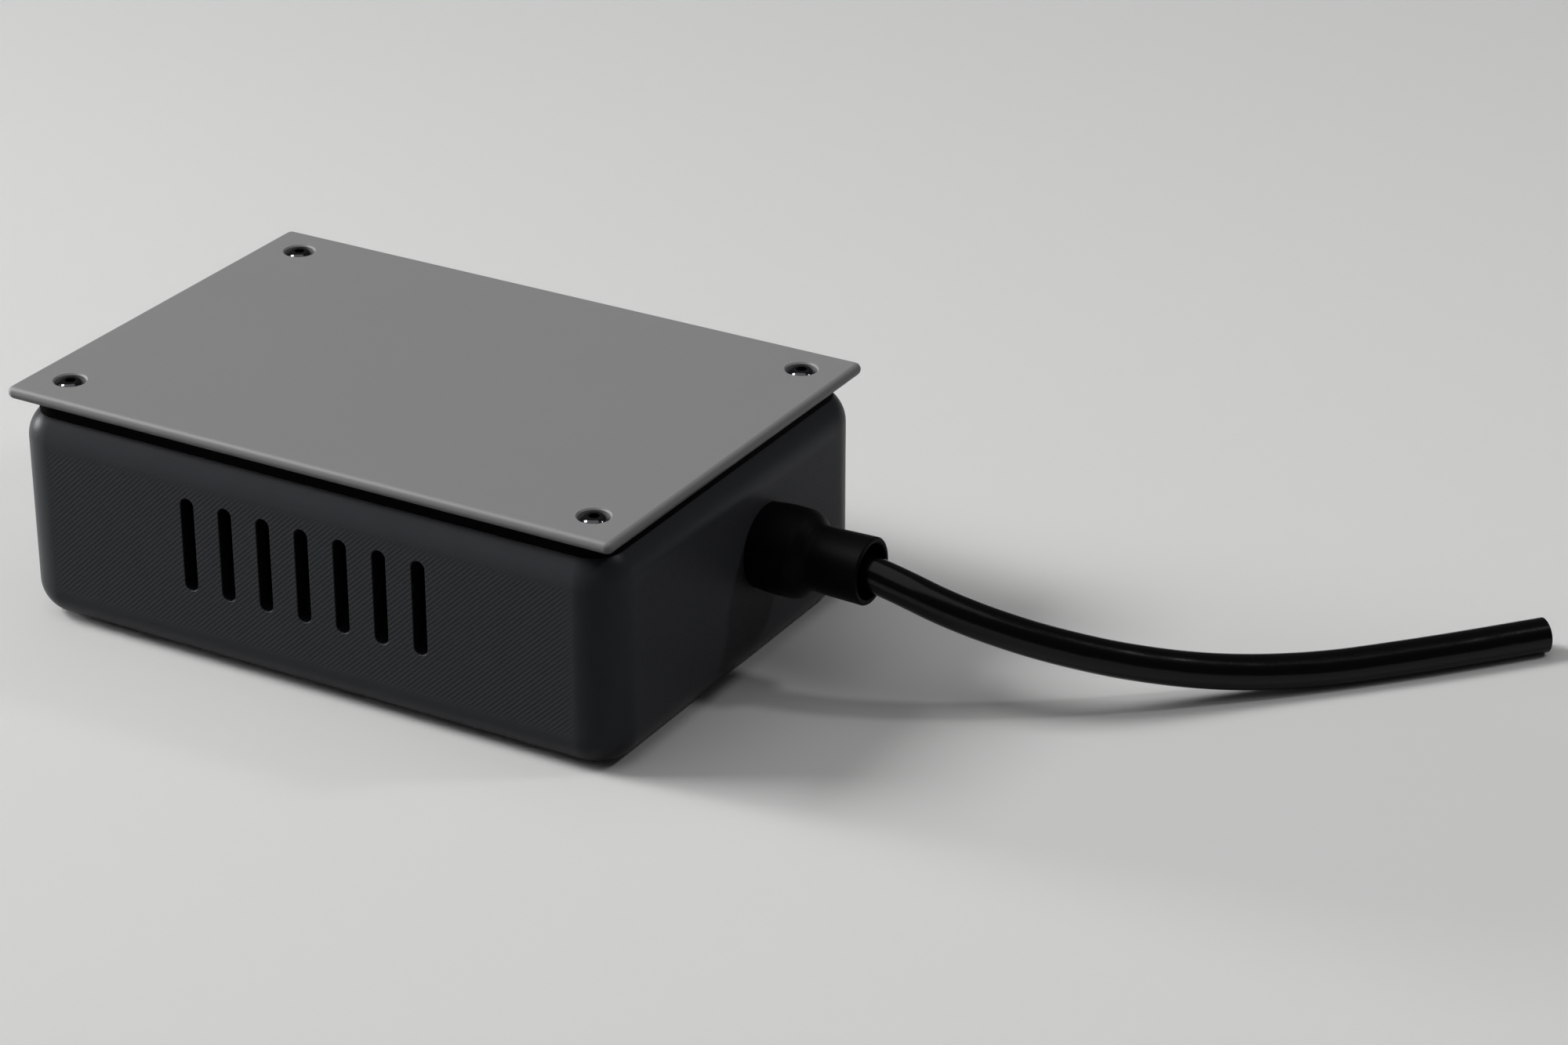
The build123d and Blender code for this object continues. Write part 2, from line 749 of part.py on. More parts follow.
def controller_chip():
    """Small chip on two rows of legs."""
    body = box_on(chip_length, chip_width, chip_height, chip_lift)
    leg = box_on(lead_thickness, chip_leg_reach + 1, lead_thickness, chip_lift + chip_height / 3)
    foot = box_on(lead_thickness, lead_thickness, chip_lift + chip_height / 3 + lead_thickness, 0)
    for i in range(chip_legs):
        x = (i - (chip_legs - 1) / 2) * chip_pitch
        for side in (-1, 1):
            edge = side * chip_width / 2
            body += Pos(x, edge + side * (chip_leg_reach - 1) / 2) * leg
            body += Pos(x, edge + side * (chip_leg_reach - lead_thickness / 2)) * foot
    return Pos(chip_from_end - board_end, chip_y, board_top) * body


def resistors():
    """Row of small resistors with bent leads."""
    body = Rot(90, 0, 0) * Cylinder(resistor_radius, resistor_length)
    reach = resistor_length / 2 + resistor_lead_reach
    body += Rot(90, 0, 0) * Cylinder(lead_thickness / 2, 2 * reach)
    leg_height = resistor_radius + lead_thickness / 2
    for side in (-1, 1):
        body += Pos(0, side * reach) * box_on(lead_thickness, lead_thickness, leg_height, -resistor_radius)
    first = transformer_x - (resistor_count - 1) * resistor_pitch / 2
    row = Pos(first, board_back - resistor_from_back, board_top + resistor_radius)
    return [row * Pos(i * resistor_pitch) * body for i in range(resistor_count)]


def pieces():
    """Every piece by name; a list holds separate like solids."""
    return {
        "base_shell": base_shell(),
        "sealing_frame": sealing_frame(),
        "cover_plate": cover_plate(),
        "cover_screws": cover_screws(),
        "threaded_inserts": threaded_inserts(),
        "strain_relief": strain_relief(),
        "cord": cord(),
        "cord_inner": cord_inner(),
        "core_wire_left": core_wire(-1),
        "core_wire_middle": core_wire(0),
        "core_wire_right": core_wire(1),
        "cord_clamp": cord_clamp(),
        "clamp_screws": clamp_screws(),
        "circuit_board": circuit_board(),
        "board_screws": board_screws(),
        "terminal_block": terminal_block(),
        "terminal_screws": terminal_screws(),
        "fuse_clips": fuse_clips(),
        "fuse_tube": fuse_tube(),
        "fuse_caps": fuse_caps(),
        "transformer_core": transformer_core(),
        "transformer_bobbin": transformer_bobbin(),
        "transformer_winding": transformer_winding(),
        "choke_core": choke_core(),
        "choke_winding": choke_winding(),
        "bridge_rectifier": bridge_rectifier(),
        "capacitor_front": capacitor(can_front_y),
        "capacitor_back": capacitor(can_back_y),
        "film_capacitor": film_capacitor(),
        "heat_sink": heat_sink(),
        "regulator": regulator(),
        "regulator_screw": regulator_screw(),
        "controller_chip": controller_chip(),
        "resistors": resistors(),
    }


os.makedirs("parts", exist_ok=True)
for name, piece in pieces().items():
    shape = Compound(children=piece) if isinstance(piece, list) else piece
    export_step(shape, f"parts/{name}.step")
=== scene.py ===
import math

import bmesh
import bpy
from mathutils import Matrix, Vector


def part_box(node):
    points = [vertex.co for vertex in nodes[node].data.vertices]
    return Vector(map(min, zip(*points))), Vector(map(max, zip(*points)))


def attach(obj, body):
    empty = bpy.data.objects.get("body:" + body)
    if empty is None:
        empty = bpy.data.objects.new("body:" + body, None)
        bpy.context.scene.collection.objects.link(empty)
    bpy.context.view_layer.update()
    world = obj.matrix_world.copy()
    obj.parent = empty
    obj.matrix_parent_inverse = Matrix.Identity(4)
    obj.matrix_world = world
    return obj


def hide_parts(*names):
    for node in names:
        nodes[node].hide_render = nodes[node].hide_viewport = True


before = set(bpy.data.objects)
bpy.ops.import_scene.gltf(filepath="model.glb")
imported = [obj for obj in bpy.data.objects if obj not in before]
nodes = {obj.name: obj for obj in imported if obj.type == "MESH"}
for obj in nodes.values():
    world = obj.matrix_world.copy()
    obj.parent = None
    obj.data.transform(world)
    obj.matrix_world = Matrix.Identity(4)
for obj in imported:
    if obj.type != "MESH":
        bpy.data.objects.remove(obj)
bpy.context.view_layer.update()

# A vented plastic enclosure with a screwed cover plate and a lead, standing on a pale floor.
# Sizes are millimetres until a piece is finished, which turns them to metres.
MM = 0.001
scene = bpy.context.scene


def lowest(node):
    """The lowest corner of a solid, to a thousandth of a millimetre."""
    return [round(place / MM, 3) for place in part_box(node)[0]]


def highest(node):
    """The highest corner of a solid, to a thousandth of a millimetre."""
    return [round(place / MM, 3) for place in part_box(node)[1]]


# Housing. X and Y are half its length and width, and the sealing frame seats on its rim.
BODY_X, BODY_Y, RIM = highest("base_shell")
WALL = 2.8
BASE = 3.0
CORNER = 8.6
EDGE_ROUND = 7.3
INNER_ROUND = EDGE_ROUND - WALL
RIM_DEPTH = 4.0
VENT_COUNT = 7
VENT_PITCH = 8.85
VENT_WIDTH = 3.0
VENT_LENGTH = 19.5
VENT_HEIGHT = 25.5
VENT_ROUNDING = 0.15

# Sealing frame
FRAME_INSET = 2.5
FRAME_WIDTH = 3.5
FRAME_LIP = 0.35
OPENING_INSET = FRAME_INSET + FRAME_WIDTH

# Where the housing's rounded top edge would end if it weren't cut flat at the rim
CROWN = RIM + EDGE_ROUND - math.sqrt(EDGE_ROUND**2 - (EDGE_ROUND - FRAME_INSET) ** 2)

# Cover plate
PLATE_X, PLATE_Y, PLATE_TOP = highest("cover_plate")
PLATE_BOTTOM = lowest("cover_plate")[2]
PLATE_CORNER = 1.5
NOSE = 1.23

# Cover screws, their holes and the blocks that they go into
SCREW_INSET = 8.7
SCREW_X = BODY_X - SCREW_INSET
SCREW_Y = BODY_Y - SCREW_INSET
SCREW_RADIUS = 1.5
SCREW_LENGTH = 10.0
SCREW_POINT = 0.3
HEAD_RADIUS = 2.85
HEAD_TOP_RADIUS = 1.7
HEAD_HEIGHT = 1.65
HEAD_ROUND = 1.9
SOCKET_FLATS = 2.0
SOCKET_DEPTH = 1.0
SCREW_HOLE = 1.7
COUNTERBORE = 3.1
COUNTERBORE_EDGE = 0.3
BLOCK_REACH = 4.9
INSERT_HOLE = 2.35
INSERT_LENGTH = 5.7
PILOT_DEPTH = 12.0

# Strain relief, turned about the lead's axis, and the hole for its neck
CABLE_Y = 9.0
CABLE_HEIGHT = 25.5
CORD_RADIUS = 3.5
BOOT_LENGTH = highest("strain_relief")[0] - BODY_X
BOOT_BORE = 3.6
FLANGE_RADIUS = 8.2
FLANGE_END_RADIUS = 7.0
FLANGE_THICKNESS = 2.5
NECK_RADIUS = 6.4
BELL_RADIUS = 8.5
BELL_SWELL = 0.4
BELL_LENGTH = 9.4
SLEEVE_START = 11.6
SLEEVE_RADIUS = 6.4
MOUTH_RADIUS = 6.7
MOUTH_WALL = 1.2
MOUTH_DEPTH = 10.2

# Cores in the lead's cut end: how far they and their copper stand out, and how far they go in
CORE_SPREAD = 1.35
CORE_RADIUS = 0.95
CORE_BORE = 0.55
CORE_PROUD = 0.3
CORE_EDGE = 0.1
STRAND_RADIUS = 0.5
STRAND_FOOT_RADIUS = 0.52
STRAND_PROUD = 0.4
BURIED = 1.0

# What stands inside the housing
BOARD_X, BOARD_Y = highest("circuit_board")[:2]
BOARD_SCREW_INSET = 5.0
PILLAR_RADIUS = 3.5
PILLAR_TOP = lowest("circuit_board")[2]
CRADLE_X = 59.3
CRADLE_LENGTH = 7.0
CRADLE_WIDTH = 22.7
CRADLE_TOP = 25.2

# How far a cutter passes the face that it cuts, and how far one reaches into another
PAST = 1.0
LAP = 0.1

# Where the housing's flat walls end for the hatch, how softly, and half the row of vents, where shade is
# painted inside, likewise
HALF_FLAT_X = 61.0
HALF_FLAT_Y = 39.0
FLAT_FADE = 3.0
FLAT_TOP = 38.5
FLAT_BOTTOM = 6.5
BAND_FADE = 2.0
VENT_FIELD = 32.0
VENT_FADE = 1.0

# Camera: a 100 mm lens, 30 degrees to the right of the front and 26 degrees above it
CAMERA_PLACE = (445.75, -635.52, 394.68)
CAMERA_DOWN = 26.02
CAMERA_TURN = 30.06

lens = bpy.data.cameras.new("camera")
lens.lens = 100
lens.sensor_width = 36
camera = bpy.data.objects.new("camera", lens)
camera.location = Vector(CAMERA_PLACE) * MM
camera.rotation_euler = (math.radians(90 - CAMERA_DOWN), 0, math.radians(CAMERA_TURN))
scene.collection.objects.link(camera)
scene.camera = camera

# The lead runs straight out of the strain relief, sags to the floor and lies there to its cut end
CORD_ROUTE = [
    (81.7, 9.0, 25.5),
    (90.0, 9.0, 25.5),
    (98.0, 9.2, 23.9),
    (106.0, 10.6, 21.0),
    (114.5, 13.7, 17.8),
    (125.0, 19.3, 13.8),
    (137.5, 28.3, 9.2),
    (151.0, 40.0, 5.3),
    (165.0, 53.2, 3.52),
    (178.0, 66.8, 3.52),
    (188.3, 78.4, 3.52),
    (197.2, 88.9, 3.52),
]
route_line = bpy.data.curves.new("lead", "CURVE")
route_line.dimensions = "3D"
route_line.resolution_u = 24
route_line.bevel_depth = CORD_RADIUS * MM
route_line.bevel_resolution = 12
route_line.use_fill_caps = True
spline = route_line.splines.new("NURBS")
spline.points.add(len(CORD_ROUTE) - 1)
for point, place in zip(spline.points, CORD_ROUTE):
    point.co = (*(Vector(place) * MM), 1)
spline.order_u = 3
spline.use_endpoint_u = True
lead = bpy.data.objects.new("lead", route_line)
scene.collection.objects.link(lead)


# Materials


def linear(colour):
    """An sRGB hex colour as linear light."""
    channels = [int(colour[i : i + 2], 16) / 255 for i in (1, 3, 5)]
    return [c / 12.92 if c <= 0.04045 else ((c + 0.055) / 1.055) ** 2.4 for c in channels] + [1]


def add(tree, kind, settings, inputs):
    """Adds a node with its settings, and gives each input, by name or number, a value or a link."""
    node = tree.nodes.new(kind)
    for name, value in settings.items():
        setattr(node, name, value)
    for name, value in inputs.items():
        if isinstance(value, bpy.types.NodeSocket):
            tree.links.new(value, node.inputs[name])
        else:
            node.inputs[name].default_value = value
    return node


def new_material(name, **sockets):
    """A material with its shader's own sockets set, and the object's coordinates for its patterns."""
    material = bpy.data.materials.new(name)
    material.use_nodes = True
    tree = material.node_tree
    shader = tree.nodes["Principled BSDF"]
    for socket, value in sockets.items():
        shader.inputs[socket.replace("_", " ")].default_value = value
    place = add(tree, "ShaderNodeTexCoord", {}, {}).outputs["Object"]
    return material, tree, shader, place


def clouded(tree, place, size, low, high, detail=3.0):
    """Uneven pattern from low to high, with patches about a size in millimetres across."""
    inputs = {"Vector": place, "Scale": 1 / (size * MM), "Detail": detail, "Roughness": 0.6}
    cloud = add(tree, "ShaderNodeTexNoise", {}, inputs).outputs["Fac"]
    inputs = {"Value": cloud, "From Min": 0.3, "From Max": 0.7, "To Min": low, "To Max": high}
    return add(tree, "ShaderNodeMapRange", {}, inputs).outputs["Result"]


def ribbed(tree, place, direction, pitch, low, high):
    """Even ribs from low to high across a direction, their pitch in millimetres."""
    along = add(tree, "ShaderNodeVectorMath", {"operation": "DOT_PRODUCT"}, {0: place, 1: direction})
    # The wave's own period is a tenth of pi.
    scale = math.pi / 10 / (pitch * MM)
    inputs = {"Vector": along.outputs["Value"], "Scale": scale, "Distortion": 0.0}
    wave = add(tree, "ShaderNodeTexWave", {"wave_type": "BANDS", "bands_direction": "X"}, inputs)
    inputs = {"Value": wave.outputs["Fac"], "To Min": low, "To Max": high}
    return add(tree, "ShaderNodeMapRange", {}, inputs).outputs["Result"]


def region(tree, place, limits):
    """One inside all limits and nought outside. Each is an axis, the distance from the middle at which
    the region starts, and that to where it is whole."""
    inside = 1.0
    for axis, edge, whole_at in limits:
        inputs = {"Value": place[axis], "From Min": edge * MM, "From Max": whole_at * MM, "To Max": inside}
        inside = add(tree, "ShaderNodeMapRange", {}, inputs).outputs["Result"]
    return inside


def tint(tree, shader, colour, factor):
    """Base colour that a pattern makes lighter and darker."""
    inputs = {0: linear(colour)[:3], "Scale": factor}
    scaled = add(tree, "ShaderNodeVectorMath", {"operation": "SCALE"}, inputs)
    tree.links.new(scaled.outputs["Vector"], shader.inputs["Base Color"])


def relief(tree, shader, layers):
    """Bump from layers of (pattern, depth in millimetres), each on the one before."""
    normal = None
    for pattern, depth in layers:
        inputs = {"Height": pattern, "Distance": depth * MM}
        if normal:
            inputs["Normal"] = normal
        normal = add(tree, "ShaderNodeBump", {}, inputs).outputs["Normal"]
    tree.links.new(normal, shader.inputs["Normal"])


def moulded(name, colour, roughness, grain=0.25, depth=0.004, **sockets):
    """Moulded plastic or rubber: a fine grain that breaks up the gloss, and a faintly uneven colour."""
    material, tree, shader, place = new_material(name, **sockets)
    tint(tree, shader, colour, clouded(tree, place, 60 * grain, 0.94, 1.06))
    gloss = clouded(tree, place, grain, roughness * 0.85, roughness * 1.15)
    tree.links.new(gloss, shader.inputs["Roughness"])
    relief(tree, shader, [(clouded(tree, place, grain, 0, 1), depth)])
    return material


def metal(name, colour, roughness, pitch, direction):
    """Metal with fine lines left by turning, drawing or rolling, and a gloss that comes and goes."""
    material, tree, shader, place = new_material(name, Metallic=1.0)
    tint(tree, shader, colour, clouded(tree, place, 4.0, 0.92, 1.05))
    gloss = clouded(tree, place, 4.0, roughness * 0.8, roughness * 1.25)
    tree.links.new(gloss, shader.inputs["Roughness"])
    marks = ribbed(tree, place, direction, pitch, 0, 1)
    relief(tree, shader, [(marks, 0.003), (clouded(tree, place, 0.3, 0, 1), 0.003)])
    return material


def housing_plastic():
    """Charcoal ABS. The mould's walls have fine leaning lines, which the light catches as a faint hatch;
    its rounded edges are smoother."""
    material, tree, shader, place = new_material("charcoal_abs", IOR=1.4, Specular_IOR_Level=0.13)
    distance = add(tree, "ShaderNodeVectorMath", {"operation": "ABSOLUTE"}, {0: place}).outputs["Vector"]
    middle = add(tree, "ShaderNodeSeparateXYZ", {}, {0: distance}).outputs
    band = [("Z", FLAT_TOP, FLAT_TOP - BAND_FADE), ("Z", FLAT_BOTTOM, FLAT_BOTTOM + BAND_FADE)]
    long_walls = region(tree, middle, [*band, ("X", HALF_FLAT_X, HALF_FLAT_X - FLAT_FADE)])
    short_walls = region(tree, middle, [*band, ("Y", HALF_FLAT_Y, HALF_FLAT_Y - FLAT_FADE)])
    walls = add(tree, "ShaderNodeMath", {"operation": "MAXIMUM"}, {0: long_walls, 1: short_walls})
    flat = walls.outputs["Value"]
    # The real lines are 0.37 mm apart; 0.75 mm is the finest that shows.
    lean = math.radians(43)
    across = (math.sin(lean), math.sin(lean), -math.cos(lean))
    lines = ribbed(tree, place, across, 0.75, -0.5, 0.5)
    hatch = add(tree, "ShaderNodeMath", {"operation": "MULTIPLY"}, {0: lines, 1: flat}).outputs["Value"]
    even = clouded(tree, place, 9.0, 0.97, 1.03)
    # The hatch is also painted into the base colour as lighter and darker lines: painted light and shade
    # of the ridges, besides their bump.
    shade = add(tree, "ShaderNodeMath", {"operation": "MULTIPLY_ADD"}, {0: hatch, 1: 0.26, 2: even})
    # Painted shade: inside the vents the base colour falls to a fifth, right from their edges, for the
    # little light that gets into them.
    behind = ("Y", BODY_Y - 0.02, BODY_Y - 0.12)
    painted_vent_shade_area = region(tree, middle, [*band, ("X", VENT_FIELD, VENT_FIELD - VENT_FADE), behind])
    inputs = {"Value": painted_vent_shade_area, "To Min": 1, "To Max": 0.2}
    painted_vent_shade = add(tree, "ShaderNodeMapRange", {}, inputs)
    inputs = {0: shade.outputs["Value"], 1: painted_vent_shade.outputs["Result"]}
    tone_with_painted_light = add(tree, "ShaderNodeMath", {"operation": "MULTIPLY"}, inputs).outputs["Value"]
    tint(tree, shader, "#3b3d40", tone_with_painted_light)
    fine = clouded(tree, place, 0.2, 0.33, 0.39)
    gloss = add(tree, "ShaderNodeMath", {"operation": "MULTIPLY_ADD"}, {0: flat, 1: 0.1, 2: fine})
    tree.links.new(gloss.outputs["Value"], shader.inputs["Roughness"])
    relief(tree, shader, [(hatch, 0.03), (clouded(tree, place, 0.2, 0, 1), 0.003)])
    return material


def plate_plastic():
    """Grey satin moulding, flat and even. A grain too fine to feel keeps its highlights broad."""
    material, tree, shader, place = new_material("grey_satin_abs", IOR=1.5, Specular_IOR_Level=0.4)
    tint(tree, shader, "#828282", clouded(tree, place, 40.0, 0.993, 1.007))
    tree.links.new(clouded(tree, place, 0.3, 0.44, 0.54), shader.inputs["Roughness"])
    relief(tree, shader, [(clouded(tree, place, 0.3, 0, 1), 0.004)])
    return material


def screw_steel():
    """Turned steel, darkened in colour as a painted dark reflection: a dark mirror with fine rings round
    each screw's axis.
    """
    material, tree, shader, place = new_material("black_nickel_steel", Metallic=1.0)
    # The four screws are mirror images, so their distances from the middle have one axis in common.
    mirrored = add(tree, "ShaderNodeVectorMath", {"operation": "ABSOLUTE"}, {0: place})
    inputs = {0: mirrored.outputs["Vector"], 1: (SCREW_X * MM, SCREW_Y * MM, 0)}
    offset = add(tree, "ShaderNodeVectorMath", {"operation": "SUBTRACT"}, inputs)
    inputs = {0: offset.outputs["Vector"], 1: (1, 1, 0)}
    level = add(tree, "ShaderNodeVectorMath", {"operation": "MULTIPLY"}, inputs)
    radius = add(tree, "ShaderNodeVectorMath", {"operation": "LENGTH"}, {0: level.outputs["Vector"]})
    # The dark base colour is painted reflection: bright steel mirroring dark surroundings.
    tint(tree, shader, "#545457", clouded(tree, place, 1.5, 0.94, 1.05))
    tree.links.new(clouded(tree, place, 0.4, 0.08, 0.14), shader.inputs["Roughness"])
    relief(tree, shader, [(ribbed(tree, radius.outputs["Value"], (1, 0, 0), 0.12, 0, 1), 0.001)])
    return material


def lead_sheath():
    """Glossy black PVC drawn over the cores: smooth, with a slow waviness along its length."""
    material, tree, shader, place = new_material("pvc_sheath", IOR=1.5, Specular_IOR_Level=0.22)
    tint(tree, shader, "#050506", clouded(tree, place, 12.0, 0.9, 1.15))
    tree.links.new(clouded(tree, place, 0.5, 0.16, 0.24), shader.inputs["Roughness"])
    slow = clouded(tree, place, 9.0, 0, 1, detail=1.0)
    relief(tree, shader, [(slow, 0.08), (clouded(tree, place, 0.5, 0, 1), 0.001)])
    return material


def board_laminate():
    """Green solder resist over glass cloth, whose weave shows faintly through it."""
    material, tree, shader, place = new_material("glass_epoxy_laminate", Roughness=0.32)
    warp = ribbed(tree, place, (1, 0, 0), 0.8, 0, 1)
    weft = ribbed(tree, place, (0, 1, 0), 0.8, 0, 1)
    weave = add(tree, "ShaderNodeMath", {"operation": "MULTIPLY"}, {0: warp, 1: weft}).outputs["Value"]
    shade = add(tree, "ShaderNodeMath", {"operation": "MULTIPLY_ADD"}, {0: weave, 1: 0.25, 2: 0.88})
    tint(tree, shader, "#14592f", shade.outputs["Value"])
    relief(tree, shader, [(weave, 0.01)])
    return material


def wound_copper(name, direction):
    """Enamelled copper wire laid in close turns, its enamel a clear amber coat."""
    coat = {"Coat_Weight": 0.7, "Coat_Roughness": 0.1, "Coat_IOR": 1.6}
    material, tree, shader, place = new_material(name, Metallic=1.0, **coat)
    # The turns are darker in the grooves between them: painted shade.
    tint(tree, shader, "#b5683c", ribbed(tree, place, direction, 0.5, 0.7, 1.1))
    tree.links.new(clouded(tree, place, 1.0, 0.22, 0.32), shader.inputs["Roughness"])
    relief(tree, shader, [(ribbed(tree, place, direction, 0.5, 0, 1), 0.12)])
    return material


def stacked_steel():
    """Core of stamped sheets, half a millimetre each, varnished dark."""
    material, tree, shader, place = new_material("varnished_core_steel", Metallic=0.6)
    tint(tree, shader, "#4a4a4e", ribbed(tree, place, (0, 1, 0), 0.5, 0.65, 1.1))
    tree.links.new(clouded(tree, place, 1.2, 0.42, 0.6), shader.inputs["Roughness"])
    relief(tree, shader, [(ribbed(tree, place, (0, 1, 0), 0.5, 0, 1), 0.08)])
    return material


def fuse_glass():
    """Clear drawn glass with a slight ripple."""
    clear = {"Roughness": 0.03, "IOR": 1.5, "Transmission_Weight": 1.0}
    material, tree, shader, place = new_material("drawn_glass", **clear)
    relief(tree, shader, [(clouded(tree, place, 3.0, 0, 1), 0.01)])
    return material


def floor_paint():
    """Plain pale studio floor, painted matt. It looks pale, and throws little light on the object."""
    matt = {"Roughness": 0.75, "Specular_IOR_Level": 0.2}
    material, tree, shader, place = new_material("matt_floor_paint", **matt)
    rays = add(tree, "ShaderNodeLightPath", {}, {}).outputs
    seen = rays["Is Camera Ray"]
    for ray in ("Is Glossy Ray", "Is Transmission Ray"):
        either = add(tree, "ShaderNodeMath", {"operation": "MAXIMUM"}, {0: seen, 1: rays[ray]})
        seen = either.outputs["Value"]
    pale = add(tree, "ShaderNodeMapRange", {}, {"Value": seen, "To Min": 0.1, "To Max": 1.0})
    tint(tree, shader, "#d2d2d1", pale.outputs["Result"])
    relief(tree, shader, [(clouded(tree, place, 1.5, 0, 1), 0.01)])
    return material


charcoal_abs = housing_plastic()
grey_abs = plate_plastic()
painted_dark_reflection = screw_steel()
sheath = lead_sheath()
nitrile = moulded("nitrile_rubber", "#040404", 0.7, 0.3, 0.012, IOR=1.3, Specular_IOR_Level=0.05)
boot_rubber = moulded("soft_pvc", "#080809", 0.5, depth=0.006, IOR=1.4, Specular_IOR_Level=0.07)
black_nylon = moulded("black_nylon", "#151515", 0.5)
green_nylon = moulded("green_nylon", "#2f7d45", 0.45)
red_epoxy = moulded("red_epoxy", "#8e2a22", 0.25)
tan_lacquer = moulded("tan_lacquer", "#c9a67a", 0.3)
blue_sleeve = moulded("shrunk_pvc_sleeve", "#14182c", 0.28)
brown_sheath = moulded("brown_core_pvc", "#5b3a24", 0.35)
blue_sheath = moulded("blue_core_pvc", "#2a4fa0", 0.35)
green_sheath = moulded("green_core_pvc", "#4d8a3a", 0.35)
zinc = metal("zinc_plated_steel", "#b4b7bb", 0.3, 0.2, (0, 0, 1))
tin = metal("tinned_brass", "#c9c8c3", 0.28, 0.25, (1, 0, 0))
turned_brass = metal("turned_brass", "#c9a35c", 0.25, 0.2, (0, 0, 1))
anodised = metal("black_anodised_aluminium", "#3a3a3c", 0.45, 0.25, (0, 0, 1))
bare_copper = metal("bare_copper_strand", "#c77a4e", 0.3, 0.2, (0, 0, 1))
laminate = board_laminate()
core_steel = stacked_steel()
glass = fuse_glass()
winding_copper = wound_copper("enamelled_winding_wire", (0, 0, 1))
choke_copper = wound_copper("enamelled_choke_wire", (1, 0, 0))


# Forms


def whole(form):
    """All that a form is made of."""
    return form.verts[:] + form.edges[:] + form.faces[:]


def moved(form, x=0, y=0, z=0):
    """The form, moved."""
    bmesh.ops.translate(form, verts=form.verts, vec=(x, y, z))
    return form


def on_lead(form, x):
    """The upright form laid on the lead's axis to point out of the housing, with its foot at x."""
    bmesh.ops.rotate(form, verts=form.verts, matrix=Matrix.Rotation(math.pi / 2, 3, "Y"))
    return moved(form, x, CABLE_Y, CABLE_HEIGHT)


def level_edges(form, *heights):
    """Edges that lie level at one of the heights."""
    return [
        edge
        for edge in form.edges
        if any(all(abs(vert.co.z - height) < 0.001 for vert in edge.verts) for height in heights)
    ]


def rounded(form, edges, radius, steps):
    """Rounds edges to a radius."""
    shape = {"offset_type": "OFFSET", "profile": 0.5, "affect": "EDGES", "material": -1}
    bmesh.ops.bevel(form, geom=edges, offset=radius, segments=steps, **shape)


def filled(form):
    """The form with its openings closed."""
    bmesh.ops.holes_fill(form, edges=[edge for edge in form.edges if edge.is_boundary], sides=0)
    bmesh.ops.recalc_face_normals(form, faces=form.faces)
    return form


def slab(length, width, bottom, top, corner=0, steps=8):
    """Upright block between two heights, with rounded corners in plan."""
    form = bmesh.new()
    bmesh.ops.create_cube(form, size=1)
    bmesh.ops.scale(form, verts=form.verts, vec=(length, width, top - bottom))
    moved(form, z=(bottom + top) / 2)
    if corner:
        uprights = [edge for edge in form.edges if edge not in level_edges(form, bottom, top)]
        rounded(form, uprights, corner, steps)
    return form


def body_slab(inset, bottom, top, steps=20):
    """Block with the housing's outline, or one that lies inside it by an inset."""
    return slab(2 * (BODY_X - inset), 2 * (BODY_Y - inset), bottom, top, CORNER - inset, steps)


def turned(profile, steps=64):
    """Form turned about the upright axis from points of a radius, a height and, at some, a rounding."""
    form = bmesh.new()
    points = [form.verts.new((radius, 0, height)) for radius, height, *_ in profile]
    for start, end in zip(points, points[1:]):
        form.edges.new((start, end))
    for point, (_, _, *rounding) in zip(points, profile):
        if rounding:
            shape = {"segments": 8, "profile": 0.5, "affect": "VERTICES", "material": -1}
            bmesh.ops.bevel(form, geom=[point], offset=rounding[0], **shape)
    turn = {"cent": (0, 0, 0), "axis": (0, 0, 1), "angle": math.tau, "use_merge": True}
    bmesh.ops.spin(form, geom=whole(form), steps=steps, **turn)
    bmesh.ops.remove_doubles(form, verts=form.verts, dist=0.001)
    bmesh.ops.recalc_face_normals(form, faces=form.faces)
    return form


def rod(radius, bottom, top, steps=64):
    """Upright round bar between two heights."""
    return turned([(0, bottom), (radius, bottom), (radius, top), (0, top)], steps)


def at_places(form, places):
    """The form at each place."""
    first = form.verts[:]
    shape = whole(form)
    for place in places[1:]:
        made = bmesh.ops.duplicate(form, geom=shape)["geom"]
        points = [part for part in made if isinstance(part, bmesh.types.BMVert)]
        bmesh.ops.translate(form, verts=points, vec=place)
    bmesh.ops.translate(form, verts=first, vec=places[0])
    return form


def corners(x, y):
    """Four places, one in each corner."""
    return [(i * x, j * y, 0) for i in (-1, 1) for j in (-1, 1)]


def carved(form, *cutters):
    """The form with the cutters taken out of it."""
    for cutter in cutters:
        blanks = []
        for shape in (form, cutter):
            mesh = bpy.data.meshes.new("blank")
            shape.to_mesh(mesh)
            shape.free()
            blanks.append(bpy.data.objects.new("blank", mesh))
            scene.collection.objects.link(blanks[-1])
        cut = blanks[0].modifiers.new("cut", "BOOLEAN")
        cut.object = blanks[1]
        cut.solver = "EXACT"
        form = bmesh.new()
        form.from_object(blanks[0], bpy.context.evaluated_depsgraph_get())
        for blank in blanks:
            bpy.data.meshes.remove(blank.data)
    return form


def piece(name, form, material, replaces=None, sharp=32):
    """Turns a finished form to metres, shades it, and puts it on the housing's body."""
    bmesh.ops.scale(form, verts=form.verts, vec=(MM, MM, MM))
    mesh = bpy.data.meshes.new(name)
    form.to_mesh(mesh)
    form.free()
    mesh.materials.append(material)
    mesh.shade_smooth()
    mesh.set_sharp_from_angle(angle=math.radians(sharp))
    made = bpy.data.objects.new(name, mesh)
    scene.collection.objects.link(made)
    even = made.modifiers.new("even_normals", "WEIGHTED_NORMAL")
    even.keep_sharp = True
    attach(made, "root")
    if replaces:
        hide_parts(replaces)
    return made


